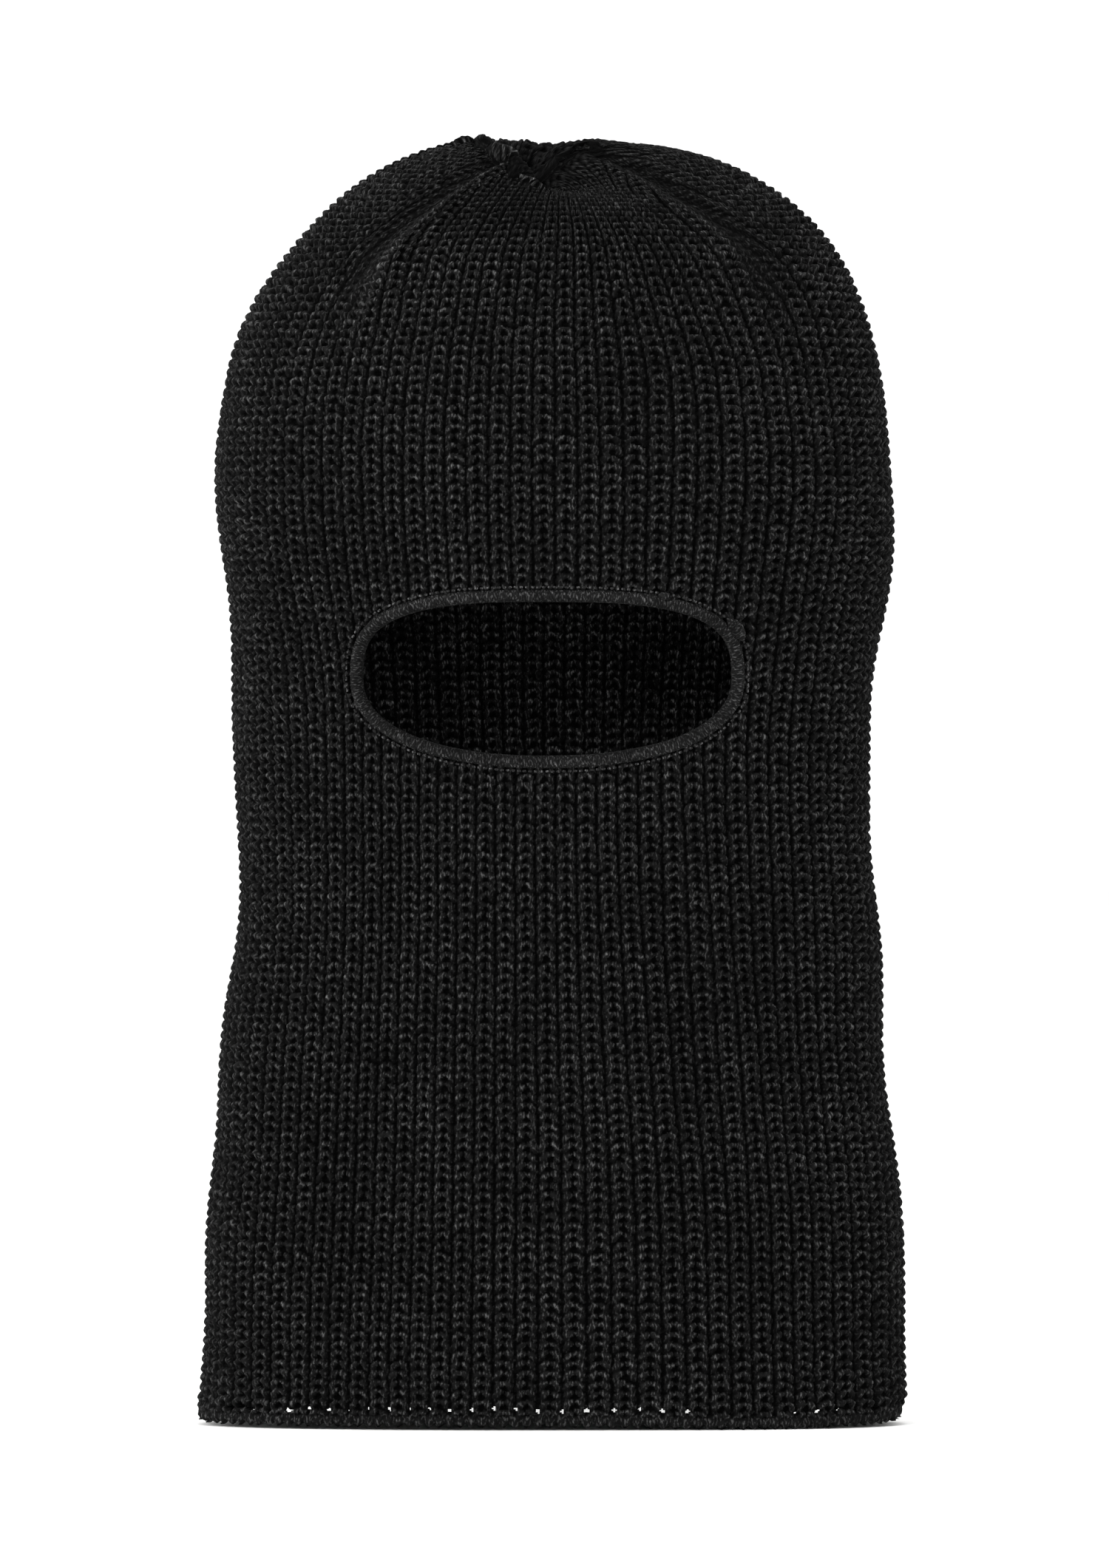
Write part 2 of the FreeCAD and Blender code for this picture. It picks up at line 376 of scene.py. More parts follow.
# Round the point the stitches are bunched: they lie as they fall, and no longer in ribs.
bunch = {
    "ribPitch": 4.4,
    "relief": 0.45,  # share of a stitch's height
    # Painted shade: the bunched stitches are darkened to this share, and further still in the pit by
    # pitShade.
    "light": 0.75,
    "pitShade": 0.55,
    "pitReach": 8.0,
    "seed": knit["seed"] + 3,
}
pucker = (1 - smoothStep(rowWidth, *crown["puckerReach"]))[:, None] * (rowZ > headHeight)[:, None]
bunchAcross = base[:, :, 0] - 0.35 * base[:, :, 2]
bunchUp = np.abs(base[:, :, 2] + 0.8 * base[:, :, 1])
bunchRib, bunchCourse = bunchAcross / bunch["ribPitch"] + 40, bunchUp / knit["coursePitch"]
bunchRelief, bunchToneAndShade = stitchRelief(bunchRib, bunchCourse, bunch["seed"])
# Painted shade round the point, deepest in the pit.
inPit = np.exp(-(rowWidth / bunch["pitReach"]) ** 2)[:, None]
bunchPaintedShade = bunch["light"] * (1 - bunch["pitShade"] * inPit)
crestRelief = crestRelief * fineness * (1 - pucker) + bunch["relief"] * bunchRelief * pucker
crestToneAndShade = crestToneAndShade * (1 - pucker) + bunchToneAndShade * pucker * bunchPaintedShade

# The ribs are pulled open where the cloth turns at the sides, so that little shows of the valleys there.
sideTurn = {"ribs": 2.6, "flatten": 0.45, "evenOut": 0.3, "calmTone": 0.3}
opened = np.zeros(columns)
for turned in (0, backSide, ribCount):
    opened = np.maximum(opened, np.exp(-(((ribAt - turned) / sideTurn["ribs"]) ** 4)))
opened = opened[None, :] * (1 - smoothStep(rowZ, headHeight + 20, headHeight + 60))[:, None]
crestRelief = crestRelief * (1 - sideTurn["flatten"] * opened) * (1 - foldCalm)
insideRelief = insideRelief * fineness
for rib, wide, z, tall, less in softShape["shaded"]:
    spot = np.exp(-(((ribAt - rib) / wide) ** 2))[None, :] * np.exp(-(((rowZ - z) / tall) ** 2))[:, None]
    foldShadeAndLight *= 1 - less * spot
# At the turned sides the painted shade between stitches is evened out towards a flat tone.
crestToneAndShade = crestToneAndShade + (sideTurn["calmTone"] - crestToneAndShade) * sideTurn["evenOut"] * opened
# In the creases the painted stitch shade gives way to a flat painted shade, and the painted fold shade and
# highlight go over all.
crestToneAndShade = (crestToneAndShade * (1 - 0.6 * foldCalm) + sideTurn["calmTone"] * foldCalm) * foldShadeAndLight
# Painted light on the inside, with its painted stitch shade made deeper, and painted shade on the inside
# round the point, where it may show through.
insideToneAndShade = knit["insidePaintedLight"] * insideToneAndShade ** knit["insideContrast"] * (1 - 0.9 * pucker)

# The last few courses roll into a smoother lip with a small scallop for each leg.
hem = {
    "lip": (2.2, 4.6),  # heights between which the stitches give way to the lip
    "lipRound": 1.7,  # how far the foot is rounded in
    "frontRise": 0.9,  # the edge touches down left of the chin and rides up elsewhere
    "rightCornerRise": 0.8,
    "leftCornerRise": 1.6,
    "backRise": 1.9,
    "riseReach": 45.0,
    "tuck": 2.6,  # how far the left corner is drawn in
}
inLip = (1 - smoothStep(rowZ, *hem["lip"]))[:, None]
scallop = np.cos(2 * turn * ribPhase)
crestRelief = crestRelief * (1 - 0.75 * inLip) + inLip * (0.35 * scallop - 0.5)
# Painted shade in the dips between the lip's scallops.
crestToneAndShade = crestToneAndShade * (1 - inLip) + inLip * (0.62 + 0.2 * scallop)

# The welt is a little thicker, rounded at the foot and drawn in between its lobes.
fromFoot = rowZ[:, None]
weltGrow = weltProud * (1 - smoothStep(fromFoot, weltTall - 1, weltTall + 3))
lip = hem["lipRound"] * (1 - np.sqrt(np.clip(1 - np.clip(1 - fromFoot / 2.0, 0, 1) ** 2, 0, 1)))
thin = np.clip(rowWidth / 34, 0.12, 1)[:, None]  # the cloth is squeezed thin in the drawn-up point
outer = cloth + clothNormal * (crestRelief + weltGrow - lip)[:, :, None]
innerDepth = np.maximum((form["wall"] + insideRelief) * thin, 0.5 - crestRelief)  # never through the outside
inner = cloth - clothNormal * (innerDepth + weltGrow - lip)[:, :, None]
lift = 0.5 * (1 - scallop) * inLip
hemWave = hem["frontRise"] * (1 - np.exp(-(((ribAt - 27) / 4.5) ** 2)))
hemWave += hem["rightCornerRise"] * np.exp(-((np.minimum(ribAt, ribCount - ribAt) / 1.2) ** 2))
hemWave += hem["leftCornerRise"] * np.exp(-(((ribAt - backSide) / 1.7) ** 2))
hemWave += hem["backRise"] * smoothStep(ribAt, 37, 41) * (1 - smoothStep(ribAt, 67, 71))
lift = lift + hemWave[None, :] * (1 - smoothStep(fromFoot, 0, hem["riseReach"]))
outer[:, :, 2] += lift
inner[:, :, 2] += lift
tuck = hem["tuck"] * np.exp(-(((ribAt - backSide) / 3) ** 2))[None, :] * (1 - smoothStep(fromFoot, 0, 10))
outer[:, :, 0] -= tuck
inner[:, :, 0] -= tuck
print("stitches knitted")


def insideOval(x, z, grow):
    half = eyeHalf + grow
    across, up = np.abs(x - eyeMiddle[0]) / half[0], (z - eyeMiddle[1]) / half[1]
    power = np.where(up > 0, *form["eyePowers"])
    return across ** power + np.abs(up) ** power < 1


def toLinear(value):
    return tuple(((v / 255) / 12.92 if v <= 10 else (((v / 255) + 0.055) / 1.055) ** 2.4) for v in value)


def hexColour(text):
    return (*toLinear([int(text[i : i + 2], 16) for i in (1, 3, 5)]), 1.0)


def addNode(tree, kind, settings=None, inputs=None):
    node = tree.nodes.new(kind)
    for name, value in (settings or {}).items():
        setattr(node, name, value)
    for name, value in (inputs or {}).items():
        if isinstance(value, bpy.types.NodeSocket):
            tree.links.new(value, node.inputs[name])
        else:
            node.inputs[name].default_value = value
    return node


def newMaterial(name):
    material = bpy.data.materials.new(name)
    material.use_nodes = True
    material.node_tree.nodes.clear()
    return material, material.node_tree


def yarnMaterial(name, look):
    material, tree = newMaterial(name)
    grain, patchScale = 1 / (look["fibreGrain"] * mm), 1 / (look["patch"] * mm)
    place = addNode(tree, "ShaderNodeUVMap", {"uv_map": "yarnMap"}).outputs["UV"]  # metres of knit
    body = addNode(tree, "ShaderNodeNewGeometry").outputs["Position"]
    fluff = addNode(tree, "ShaderNodeTexNoise", {"noise_dimensions": "3D"},
                    {"Vector": body, "Scale": grain, "Detail": 2.0, "Roughness": 0.6})
    slant = addNode(tree, "ShaderNodeMapping", {},
                    {"Vector": place, "Scale": (1.0, 0.4, 1.0), "Rotation": (0, 0, look["twist"])})
    fibre = addNode(tree, "ShaderNodeTexNoise", {"noise_dimensions": "2D"},
                    {"Vector": slant.outputs["Vector"], "Scale": grain, "Detail": 3.0})
    patch = addNode(tree, "ShaderNodeTexNoise", {"noise_dimensions": "3D"},
                    {"Vector": body, "Scale": patchScale, "Detail": 1.0})
    # The yarn's random tone with its painted shade, read from the mesh, mixes the colour down towards the
    # shadow colour.
    tone = addNode(tree, "ShaderNodeAttribute", {"attribute_name": "yarnToneAndShade"})
    fleck = addNode(tree, "ShaderNodeMapRange", {},
                    {"Value": fibre.outputs["Fac"], "From Min": look["fleckFrom"],
                     "From Max": look["fleckTo"], "To Min": 0.0, "To Max": 1.0})
    mixed = addNode(tree, "ShaderNodeMix", {"data_type": "RGBA"},
                    {"Factor": fleck.outputs["Result"], "A": hexColour(look["body"]),
                     "B": hexColour(look["fleck"])})
    slow = addNode(tree, "ShaderNodeMapRange", {},
                   {"Value": patch.outputs["Fac"], "From Min": 0.3, "From Max": 0.7,
                    "To Min": look["patchTone"][0], "To Max": look["patchTone"][1]})
    shade = addNode(tree, "ShaderNodeMath", {"operation": "MULTIPLY"})
    tree.links.new(tone.outputs["Fac"], shade.inputs[0])
    tree.links.new(slow.outputs["Result"], shade.inputs[1])
    colour = addNode(tree, "ShaderNodeMix", {"data_type": "RGBA", "clamp_factor": False},
                     {"Factor": shade.outputs["Value"], "A": hexColour(look["shadow"]),
                      "B": mixed.outputs[2]})
    bumps = addNode(tree, "ShaderNodeMath", {"operation": "ADD"})
    tree.links.new(fluff.outputs["Fac"], bumps.inputs[0])
    tree.links.new(fibre.outputs["Fac"], bumps.inputs[1])
    bump = addNode(tree, "ShaderNodeBump", {},
                   {"Height": bumps.outputs["Value"], "Strength": 0.8, "Distance": look["fibreRise"] * mm})
    shader = addNode(tree, "ShaderNodeBsdfPrincipled", {},
                     {"Base Color": colour.outputs[2], "Roughness": look["roughness"],
                      "Specular IOR Level": look["gloss"], "Sheen Weight": look["fuzz"],
                      "Sheen Roughness": 0.5, "Normal": bump.outputs["Normal"]})
    addNode(tree, "ShaderNodeOutputMaterial", {}, {"Surface": shader.outputs["BSDF"]})
    return material


# Acrylic rib yarn, spun from short fibres and knitted soft: it gives the eye a matt black with a fine grain,
# and pale flecks where loose fibres stand up.
ribYarn = {
    "shadow": "#030303",
    "body": "#131313",
    "fleck": "#4b4b4b",
    "fleckFrom": 0.52,
    "fleckTo": 0.72,
    "fibreGrain": 0.6,  # mm between fibre flecks, about twice as coarse as the real ones, so that they show
    "fibreRise": 0.3,  # mm
    "twist": 0.5,  # radians by which the fibres lie aslant in the yarn
    "patch": 26.0,  # mm across the slow changes of tone
    "patchTone": (0.8, 1.15),
    "roughness": 0.95,
    "gloss": 0.03,
    "fuzz": 0.012,
}
ribMaterial = yarnMaterial("acrylicRibYarn", ribYarn)

# Spun polyester overlock thread, packed close: smoother than the yarn, so a little paler and more even.
overlockThread = dict(ribYarn, shadow="#040404", fleck="#404040", fibreGrain=0.5)
threadMaterial = yarnMaterial("spunPolyesterThread", overlockThread)


def finishPiece(piece, node, material):
    piece.data.materials.append(material)
    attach(piece, "root")
    if node:
        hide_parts(*([node] if isinstance(node, str) else node))


def newMesh(name, points, faces, sizes, maps, tone, flat=None):
    # A mesh from arrays: points in mm, the corners of all faces in a row, and how many each face has.
    mesh = bpy.data.meshes.new(name)
    mesh.vertices.add(len(points))
    mesh.vertices.foreach_set("co", (points * mm).astype(np.float32).ravel())
    mesh.loops.add(len(faces))
    mesh.loops.foreach_set("vertex_index", faces.astype(np.int32))
    mesh.polygons.add(len(sizes))
    mesh.polygons.foreach_set("loop_start", (np.cumsum(sizes) - sizes).astype(np.int32))
    mesh.update(calc_edges=True)
    sharp = mesh.attributes.new("sharp_face", "BOOLEAN", "FACE")
    sharp.data.foreach_set("value", np.zeros(len(sizes), bool) if flat is None else flat)
    for mapName, places in maps.items():
        layer = mesh.uv_layers.new(name=mapName)
        layer.data.foreach_set("uv", places.astype(np.float32).ravel())
    # The yarn's random tone with its painted shade, per point.
    shade = mesh.attributes.new("yarnToneAndShade", "FLOAT", "POINT")
    shade.data.foreach_set("value", tone.astype(np.float32))
    mesh.validate()
    piece = bpy.data.objects.new(name, mesh)
    bpy.context.scene.collection.objects.link(piece)
    return piece


allPoints = np.concatenate([outer.reshape(-1, 3), inner.reshape(-1, 3)])
# Random tone with painted shade, for the outside points and then the inside ones.
allToneAndShade = np.concatenate([crestToneAndShade.ravel(), insideToneAndShade.ravel()])


def knitPiece(name, node, rowFrom, rowTo, ribFrom, ribTo, holes=None):
    # A closed slab of knit between two rows and two ribs, with its inside, outside and cut edges.
    across = knit["columnsPerRib"]
    cols = np.arange(int(ribFrom * across), int(ribTo * across))
    r, c = np.meshgrid(np.arange(rowFrom, rowTo), cols, indexing="ij")
    keep = np.ones(r.shape, bool)
    if holes is not None:
        keep &= ~holes[rowFrom:rowTo][:, cols % columns]
    whole = len(cols) == columns
    ids = lambda row, col: row * columns + col % columns
    inside = rows * columns
    r0, c0 = r[keep], c[keep]
    ring = [(0, 0), (0, 1), (1, 1), (1, 0)]
    front = np.stack([ids(r0 + dr, c0 + dc) for dr, dc in ring], 1)
    back = front[:, ::-1] + inside
    spot = np.stack([np.stack([c0 + dc, r0 + dr], 1) for dr, dc in ring], 1).astype(float)
    edges, edgeSpots = [], []
    padded = np.pad(keep, 1, constant_values=False)
    if whole:
        padded[1:-1, 0], padded[1:-1, -1] = keep[:, -1], keep[:, 0]
    sides = [((-1, 0), 0, 1), ((0, 1), 1, 2), ((1, 0), 2, 3), ((0, -1), 3, 0)]
    for (dr, dc), a, b in sides:
        alone = keep & ~padded[1 + dr : padded.shape[0] - 1 + dr, 1 + dc : padded.shape[1] - 1 + dc]
        rowAt, colAt = r[alone], c[alone]
        first = ids(rowAt + ring[a][0], colAt + ring[a][1])
        second = ids(rowAt + ring[b][0], colAt + ring[b][1])
        edges.append(np.stack([second, first, first + inside, second + inside], 1))
        edgeSpots.append(np.stack([np.stack([colAt, rowAt], 1)] * 4, 1).astype(float))
    rim = np.concatenate(edges)
    rimSpot = np.concatenate(edgeSpots)
    quads = np.concatenate([front, back, rim])
    spots = np.concatenate([spot, spot[:, ::-1], rimSpot])
    used, packed = np.unique(quads.ravel(), return_inverse=True)
    yarn = np.stack([spots[..., 0] / across * knit["ribPitch"], climbAt(spots)], -1) * mm
    unit = (spots - [cols[0], rowFrom]) / [len(cols), rowTo - rowFrom]
    bake = unit * [0.48, 0.98] + [0.005, 0.01]
    bake[len(front) : 2 * len(front), :, 0] += 0.51
    if len(rim):
        rise = (np.arange(len(rim))[:, None] + np.array([0.1, 0.9, 0.9, 0.1])) / len(rim)
        bake[2 * len(front) :, :, 0] = np.array([0.4885, 0.4885, 0.5115, 0.5115])
        bake[2 * len(front) :, :, 1] = 0.01 + 0.98 * rise
    flat = np.zeros(len(quads), bool)
    flat[2 * len(front) :] = True
    piece = newMesh(name, allPoints[used], packed.ravel(), np.full(len(quads), 4),
                    {"yarnMap": yarn, "OFBake": bake}, allToneAndShade[used], flat)
    finishPiece(piece, node, ribMaterial)


def climbAt(spots):
    r = spots[..., 1].astype(int)
    c = spots[..., 0].astype(int) % columns
    return climb[r, c]


middle = (outer[:-1] + np.roll(outer, -1, axis=1)[:-1] + outer[1:] + np.roll(outer, -1, axis=1)[1:]) / 4
eyeHole = insideOval(middle[:, :, 0], middle[:, :, 2], -0.5 * form["edgingWidth"]) & (middle[:, :, 1] < 0)

# Eyelets: small gaps where the welt's first stitches were cast on, uneven in size and place.
eyelets = {
    "inValley": 0.85,  # chance of one
    "onCrest": 0.12,
    "height": (4.7, 1.1),  # least, and how much more there may be
    "halfTall": (0.35, 0.4),
    "halfWide": (0.04, 0.06),  # in ribs
    "sideWiden": 2.2,  # wider at the sides, to be seen through aslant
    "seed": knit["seed"] + 2,
}
eyeletPick = np.random.default_rng(eyelets["seed"])
eyelet = np.zeros((rows - 1, columns), bool)
for spot in np.arange(2.0, ribCount, 0.5):
    chance, size, rise, shift = eyeletPick.random(4)
    if chance < (eyelets["inValley"] if spot % 1 == 0 else eyelets["onCrest"]):
        wide = eyelets["halfWide"][0] + eyelets["halfWide"][1] * size
        tall = eyelets["halfTall"][0] + eyelets["halfTall"][1] * size
        middleZ = eyelets["height"][0] + eyelets["height"][1] * rise
        wide *= 1 + eyelets["sideWiden"] * smoothStep(abs(spot - frontMiddle), 8, 14)
        beside = (ribPhase[:-1] - spot - 0.1 * (shift - 0.5)) / wide
        eyelet |= beside ** 2 + ((rowZ[:-1, None] - middleZ) / tall) ** 2 < 1
holes = eyeHole | eyelet

rowOf = lambda z: int(np.argmin(np.abs(rowZ - z)))
weltRow, throatRow, crownRow = rowOf(weltTall), rowOf(throatTop), rowOf(crownBase)
knitPiece("hem_welt_knit", "hem_welt", 0, weltRow, 0, ribCount, holes)
knitPiece("neck_front_knit", "neck_front", weltRow, throatRow, 0, backSide)
knitPiece("neck_back_knit", "neck_back", weltRow, throatRow, backSide, ribCount)
knitPiece("head_front_knit", "head_front", throatRow, crownRow, 0, backSide, holes)
knitPiece("head_back_knit", "head_back", throatRow, crownRow, backSide, ribCount)
darts = crown["dartRibs"]
goreEdges = [*darts, darts[0] + ribCount]
for number, gore in enumerate(("front", "left", "back", "right")):
    node = "crown_gore_" + gore
    knitPiece(node + "_knit", node, crownRow, rows - 1, goreEdges[number], goreEdges[number + 1])
print("knit pieces made")


def clothAt(row, rib):
    # The cloth's mid point and normal at a row and a rib, both as fractions.
    r = np.clip(row, 0, rows - 1.001)
    c = rib * knit["columnsPerRib"]
    r0, c0 = np.floor(r).astype(int), np.floor(c).astype(int)
    fr, fc = (r - r0)[:, None], (c - c0)[:, None]
    c0, c1 = c0 % columns, (c0 + 1) % columns
    found = []
    for grid in (cloth, clothNormal):
        low = grid[r0, c0] * (1 - fc) + grid[r0, c1] * fc
        high = grid[r0 + 1, c0] * (1 - fc) + grid[r0 + 1, c1] * fc
        found.append(low * (1 - fr) + high * fr)
    return found[0], found[1] / np.linalg.norm(found[1], axis=1, keepdims=True)


def frontAt(x, z):
    # The cloth's point and normal on the front, at places seen from the front.
    front = np.arange(columns // 2)
    row = np.interp(z, rowZ, np.arange(rows))
    rib = np.array([np.interp(px, cloth[int(pr), front, 0], front) for px, pr in zip(x, row)])
    return clothAt(row, rib / knit["columnsPerRib"])


def ovalPath(grow, count):
    angle = np.arange(count) / count * turn
    c, s = np.cos(angle), np.sin(angle)
    power = np.where(s > 0, *form["eyePowers"])
    out = (np.abs(c) ** power + np.abs(s) ** power) ** (-1 / power)
    half = eyeHalf - form["edgingWidth"] + grow
    return frontAt(eyeMiddle[0] + half[0] * c * out, eyeMiddle[1] + half[1] * s * out)


def even(points, normals, count, closed):
    # The same path with evenly spaced points.
    if closed:
        points = np.vstack([points, points[:1]])
        normals = np.vstack([normals, normals[:1]])
    run = np.concatenate([[0], np.cumsum(np.linalg.norm(np.diff(points, axis=0), axis=1))])
    stops = np.linspace(0, run[-1], count, endpoint=not closed)
    spread = lambda values: np.stack([np.interp(stops, run, values[:, k]) for k in range(3)], 1)
    return spread(points), spread(normals), run[-1]


def wrappedRoll(name, path, normals, look, closed, sizes=None):
    # A roll of close turns of thread along a path, with each turn a small round ridge.
    length = np.linalg.norm(np.diff(path, axis=0), axis=1).sum()
    turnsOfThread = round(length / look["threadPitch"])
    perTurn = 4
    count = turnsOfThread * perTurn
    path, normals, length = even(path, normals, count, closed)
    sides = look["sides"]
    if closed:
        tangent = np.roll(path, -1, axis=0) - np.roll(path, 1, axis=0)
    else:
        tangent = np.gradient(path, axis=0)
    tangent /= np.linalg.norm(tangent, axis=1, keepdims=True)
    side = np.cross(tangent, normals)
    side /= np.linalg.norm(side, axis=1, keepdims=True)
    up = np.cross(side, tangent)
    angle = np.arange(sides) / sides * turn
    along = np.arange(count) / perTurn
    phase = along[:, None] + look["starts"] * angle[None, :] / turn
    wobble = 0.18 * np.sin(along[:, None] * 0.31 + 1.3) + 0.12 * np.sin(along[:, None] * 0.83)
    part = np.mod(phase + wobble, 1)
    ridge = look["threadRise"] * (np.sqrt(np.maximum(1 - (2 * part - 1) ** 2, 0)) - 1)
    grow = np.ones(count)
    if sizes is not None:
        grow = np.interp(np.linspace(0, 1, count), np.linspace(0, 1, len(sizes)), sizes)
    c = np.sign(np.cos(angle)) * np.abs(np.cos(angle)) ** 0.85  # a little squarer than round
    s = np.sign(np.sin(angle)) * np.abs(np.sin(angle)) ** 0.85
    wide = look["halfWidth"] * grow[:, None] + ridge
    thick = look["halfThick"] * grow[:, None] + ridge
    points = path[:, None, :] + side[:, None, :] * (wide * c)[:, :, None]
    points = points + up[:, None, :] * (thick * s)[:, :, None]
    steps = count if closed else count - 1
    i, k = np.meshgrid(np.arange(steps), np.arange(sides), indexing="ij")
    i1, k1 = (i + 1) % count, (k + 1) % sides
    quads = np.stack([i * sides + k, i1 * sides + k, i1 * sides + k1, i * sides + k1], -1).reshape(-1, 4)
    ring = [(0, 0), (1, 0), (1, 1), (0, 1)]
    yarn = np.stack([np.stack([i + di, k + dk], -1) for di, dk in ring], 2)
    yarn = yarn.reshape(-1, 2) * [length / count, turn * look["halfWidth"] / sides] * mm
    faces, counts = quads.ravel(), np.full(len(quads), 4)
    points = points.reshape(-1, 3)
    if not closed:
        caps = np.concatenate([np.arange(sides)[::-1], (count - 1) * sides + np.arange(sides)])
        faces = np.concatenate([faces, caps])
        counts = np.concatenate([counts, [sides, sides]])
        yarn = np.vstack([yarn, np.zeros((2 * sides, 2))])
    shadeOfTurn = np.random.default_rng(look["seed"]).normal(1, 0.22, turnsOfThread + 2)
    which = np.floor(phase + wobble).astype(int) % (turnsOfThread + 2)
    # Painted shade in the grooves between turns, times a tone that differs at random from turn to turn, and
    # painted shade on one side of the roll.
    tone = np.clip(1.15 + 0.85 * ridge / look["threadRise"], 0.25, 1.2) * shadeOfTurn[which]
    tone = (tone * (1 + look["paintedSideShade"] * c[None, :])).ravel()
    return newMesh(name, points, faces, counts, {"yarnMap": yarn}, tone)


# Eye edging: an overlocked roll of thread that wraps the cut edge of the knit.
edging = {
    "halfWidth": form["edgingWidth"] / 2 + 0.15,
    "halfThick": form["wall"] / 2 + 1.0,
    "threadPitch": 0.9,  # drawn coarser than the thread, so that its turns show
    "threadRise": 0.3,
    "paintedSideShade": 0.3,  # painted shade: the side towards the opening is darker and the side away from it paler
    "seed": 11,
    "starts": 7,  # gives the turns their slant
    "sides": 32,
}
path, normals = ovalPath(form["edgingWidth"] / 2, 400)
path = path - normals * form["wall"] / 2
roll = wrappedRoll("eye_edging_roll", path, normals, edging, True)
finishPiece(roll, "eye_edging", threadMaterial)

# Lap of the edging, where the roll starts and ends: a short second roll beside the first.
lap = dict(edging, halfWidth=2.0, halfThick=2.1, starts=4, paintedSideShade=0.5, seed=12)
lapPath, lapNormals = ovalPath(form["edgingWidth"] + 0.9, 400)
where = slice(26, 41)
lapPath = lapPath[where] + lapNormals[where] * 0.1
lapPiece = wrappedRoll("eye_edging_lap_roll", lapPath, lapNormals[where], lap, False,
                       [0.25, 0.9, 1.1, 0.95, 0.25])
finishPiece(lapPiece, "eye_edging_lap", threadMaterial)

# Knot of the edging thread, on its upper edge.
knotLook = dict(lap, halfWidth=1.1, halfThick=1.5, seed=13)
beside = slice(62, 67)
knotPath, knotNormals = ovalPath(form["edgingWidth"] + 0.3, 400)
knotPiece = wrappedRoll("eye_edging_knot", knotPath[beside], knotNormals[beside], knotLook, False,
                        [0.3, 1.0, 1.1, 0.9, 0.3])
finishPiece(knotPiece, None, threadMaterial)
print("edging made")


def threadTubes(name, paths, radius, sides=8, tone=0.8):
    # Separate short lengths of thread, each a tube with rounded ends.
    points, faces, counts = [], [], []
    start = 0
    for run in paths:
        n = len(run)
        tangent = np.gradient(run, axis=0)
        tangent /= np.linalg.norm(tangent, axis=1, keepdims=True)
        reference = np.array([0.13, 0.31, 0.94])
        side = np.cross(tangent, reference)
        side /= np.linalg.norm(side, axis=1, keepdims=True)
        up = np.cross(side, tangent)
        ends = np.minimum(np.arange(n), np.arange(n)[::-1]) / max(n - 1, 1)
        width = radius * np.sqrt(np.clip(ends / 0.18, 0.06, 1))
        angle = np.arange(sides) / sides * turn
        c, s = np.cos(angle)[None, :, None], np.sin(angle)[None, :, None]
        across = side[:, None, :] * c + up[:, None, :] * s
        points.append((run[:, None, :] + width[:, None, None] * across).reshape(-1, 3))
        i, k = np.meshgrid(np.arange(n - 1), np.arange(sides), indexing="ij")
        k1 = (k + 1) % sides
        quads = np.stack([i * sides + k, (i + 1) * sides + k, (i + 1) * sides + k1, i * sides + k1], -1)
        quads = quads.reshape(-1, 4)
        caps = [np.arange(sides)[::-1], (n - 1) * sides + np.arange(sides)]
        faces += [part + start for part in (quads.ravel(), *caps)]
        counts += [4] * len(quads) + [sides, sides]
        start += n * sides
    corners = np.concatenate(faces)
    points = np.vstack(points)
    yarn = points[corners][:, [0, 2]] * mm
    return newMesh(name, points, corners, np.array(counts), {"yarnMap": yarn}, np.full(len(points), tone))


def placesAlong(path, normals, places):
    # Points and normals at places along a closed path, as shares of its length.
    at = np.mod(places, 1) * len(path)
    low = np.floor(at).astype(int) % len(path)
    share = (at - np.floor(at))[..., None]
    mix = lambda values: values[low] * (1 - share) + values[(low + 1) % len(path)] * share
    return mix(path), mix(normals)


# Needle stitches: the dotted line that holds the edging, on the face of the knit.
needle = {
    "pitch": 1.75,
    "length": 1.05,
    "radius": 0.36,
    "gap": 1.0,  # from the roll
    "proud": 0.15,
    "dive": 1.6,
    "tone": 2.2,
}
path, normals = ovalPath(form["edgingWidth"] + needle["gap"], 900)
path, normals, length = even(path, normals, 900, True)
number = round(length / needle["pitch"])
spread = np.linspace(-0.5, 0.5, 7)
stitches = []
for i in range(number):
    spots, outward = placesAlong(path, normals, (i + spread * needle["length"] / needle["pitch"]) / number)
    stitches.append(spots + outward * (needle["proud"] - needle["dive"] * spread ** 2)[:, None])
line = threadTubes("eye_needle_stitches", stitches, needle["radius"], tone=needle["tone"])
finishPiece(line, "eye_needle_stitching", threadMaterial)

# Dart seams: overlocked allowances on the inside of the crown.
dartSeam = dict(edging, halfWidth=1.7, halfThick=2.2, threadPitch=1.1, threadRise=0.25, starts=5, sides=20)
dartSeam["lastHalfWidth"] = 42.0  # of the dome where the seams end, at the gather
dartSeam["depth"] = form["wall"] + 0.8
last = int(np.argmax((rowWidth < dartSeam["lastHalfWidth"]) & (rowZ > headHeight)))
at = np.linspace(crownRow + 2, last, 60)
for place, rib in zip(("front_right", "front_left", "back_left", "back_right"), darts):
    node = "crown_seam_" + place
    path, normals = clothAt(at, np.full(len(at), float(rib)))
    path = path - normals * dartSeam["depth"]
    seam = wrappedRoll(node + "_overlock", path, normals, dartSeam, False, [0.4, 1, 1, 1, 0.8])
    finishPiece(seam, node, threadMaterial)

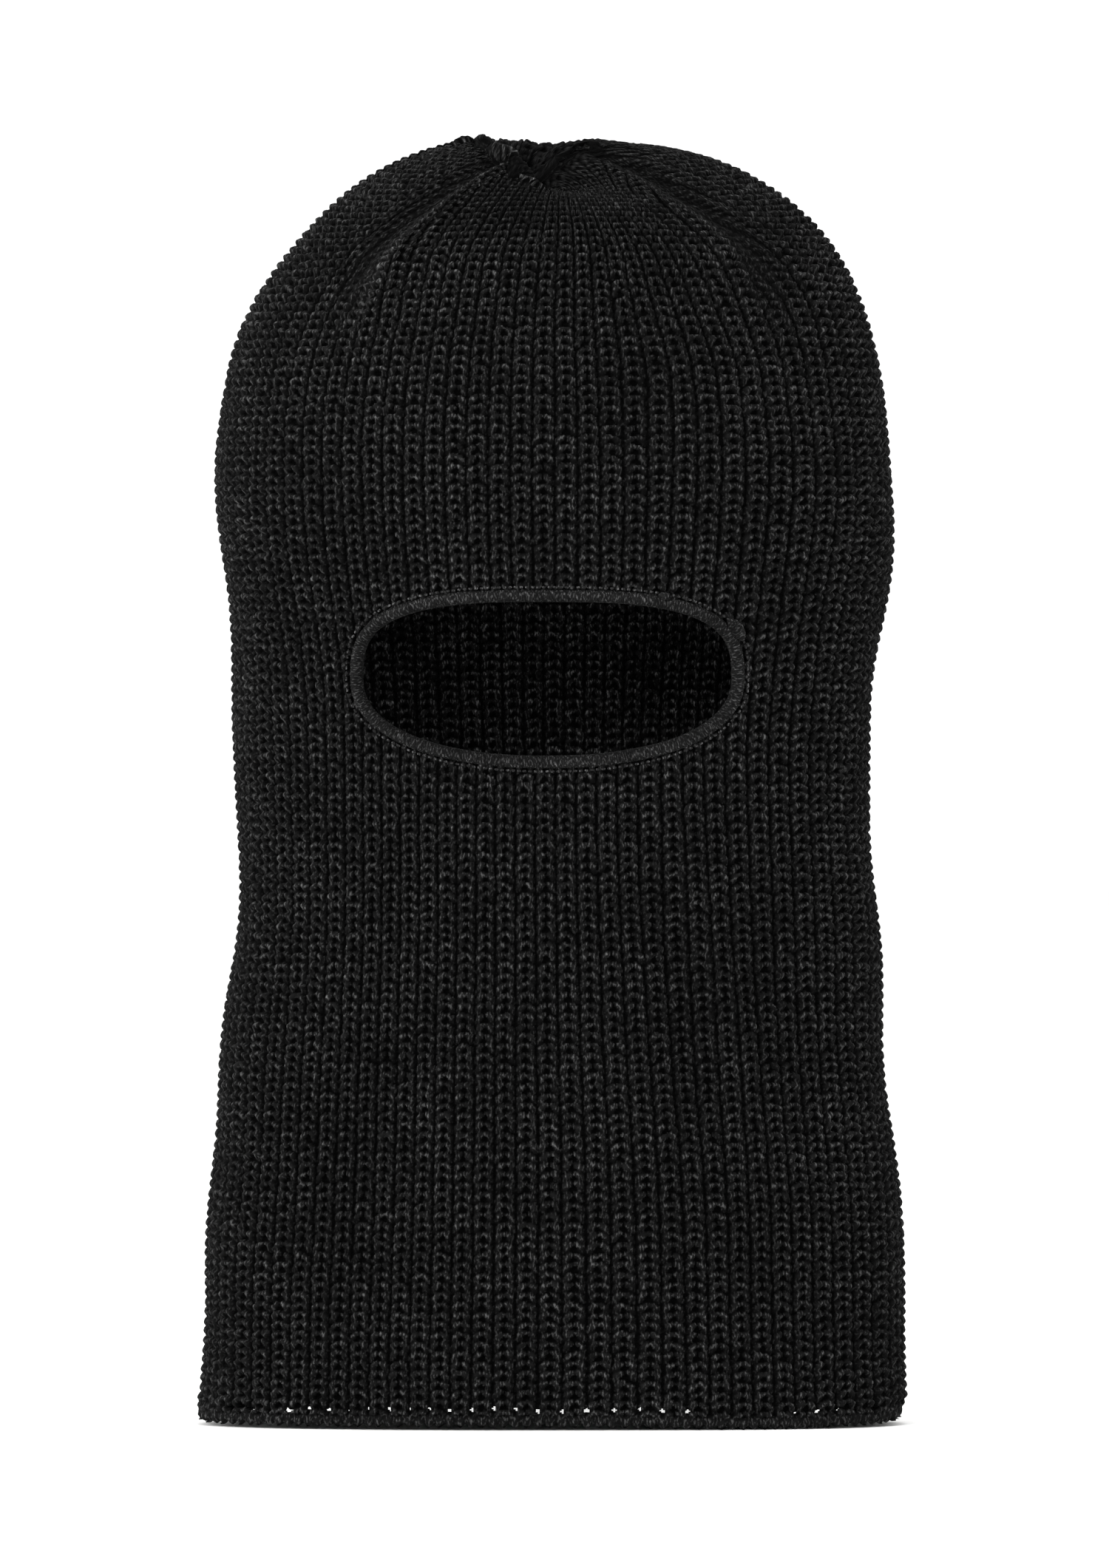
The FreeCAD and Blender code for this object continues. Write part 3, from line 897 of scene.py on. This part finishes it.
# Gather: the thread that draws the crown up, wound round the pinched cloth on the inside.
gather = {
    "turns": 4.5,
    "radius": 3.4,
    "thread": 0.55,
    "coil": (-2.5, -6.0),  # from the point, along the way it faces
    "plug": (-0.8, -6.5),
    "plugRadius": 2.6,  # at least
    # Painted shade: the tuft down in the pit is drawn darker than the thread.
    "plugShade": 0.4,
}
apex = cloth[-1].mean(axis=0)
outward = clothNormal[-1].mean(axis=0)
outward /= np.linalg.norm(outward)
aside = np.cross(outward, [0, 1, 0])
aside /= np.linalg.norm(aside)
ahead = np.cross(outward, aside)
ringRadius = np.linalg.norm(cloth[-1] - apex, axis=1).mean()
steps = np.linspace(0, gather["turns"] * turn, 150)
depth = np.linspace(*gather["coil"], len(steps)) + 0.3 * np.sin(steps * 1.3)
coilRadius = gather["radius"] * (1 + 0.08 * np.sin(steps * 0.7))[:, None]
coil = apex + outward * depth[:, None]
coil = coil + coilRadius * (aside * np.cos(steps)[:, None] + ahead * np.sin(steps)[:, None])
plug = apex + outward * np.linspace(*gather["plug"], 9)[:, None]
knot = threadTubes("crown_gather_thread", [coil], gather["thread"])
finishPiece(knot, "crown_gather", threadMaterial)
plugRadius = max(ringRadius * 1.1, gather["plugRadius"])
tuft = threadTubes("crown_gather_tuft", [plug], plugRadius, 20, gather["plugShade"])
finishPiece(tuft, None, threadMaterial)
print("crown sewn")

# Studio: a pale floor under an even white surround, with soft lights from the left, the front and above.
studio = {
    "floorSize": 30.0,
    "surround": 1.12,
    "boardDark": "#f6f6f5",
    "boardPale": "#f9f9f8",
    "grain": 40.0,
}
bpy.ops.mesh.primitive_plane_add(size=studio["floorSize"])
floor = bpy.context.object
floor.name = "floor"
floorMaterial, tree = newMaterial("matt_white_board")
speckle = addNode(tree, "ShaderNodeTexNoise", {}, {"Scale": studio["grain"]})
paper = addNode(tree, "ShaderNodeMix", {"data_type": "RGBA"},
                {"Factor": speckle.outputs["Fac"], "A": hexColour(studio["boardDark"]),
                 "B": hexColour(studio["boardPale"])})
board = addNode(tree, "ShaderNodeBsdfPrincipled", {}, {"Base Color": paper.outputs[2], "Roughness": 0.9})
addNode(tree, "ShaderNodeOutputMaterial", {}, {"Surface": board.outputs["BSDF"]})
floor.data.materials.append(floorMaterial)

world = bpy.data.worlds.new("surround")
bpy.context.scene.world = world
world.use_nodes = True
world.node_tree.nodes["Background"].inputs["Color"].default_value = (1, 1, 1, 1)
world.node_tree.nodes["Background"].inputs["Strength"].default_value = studio["surround"]

lamps = {
    "key": {"at": (-1.7, -2.3, 1.5), "size": 1.0, "power": 44.0},
    "side": {"at": (-2.8, -0.3, 0.7), "size": 1.2, "power": 48.0},
    "top": {"at": (0.2, -0.5, 2.6), "size": 1.0, "power": 22.0},
    "fill": {"at": (1.4, -2.2, 0.9), "size": 1.6, "power": 10.0},
}
aim = (cadBox[0] + cadBox[1]) / 2
for name, lamp in lamps.items():
    data = bpy.data.lights.new(name, "AREA")
    data.shape, data.size, data.energy = "DISK", lamp["size"], lamp["power"]
    light = bpy.data.objects.new(name, data)
    bpy.context.scene.collection.objects.link(light)
    light.location = lamp["at"]
    light.rotation_euler = (aim - light.location).to_track_quat("-Z", "Y").to_euler()

# Camera: square on to the face with a long lens, the mask filling most of the frame's height.
view = {"distance": 3.0, "frameTall": 0.4906, "aimHeight": 0.2002, "sensor": 36.0}
camera = bpy.data.objects.new("camera", bpy.data.cameras.new("camera"))
bpy.context.scene.collection.objects.link(camera)
camera.data.sensor_width = view["sensor"]
camera.data.lens = view["sensor"] * view["distance"] / view["frameTall"]
camera.location = (0, -view["distance"], view["aimHeight"])
camera.rotation_euler = (math.radians(90), 0, 0)
camera.data.clip_end = 100
bpy.context.scene.camera = camera
bpy.context.scene.view_settings.view_transform = "Standard"
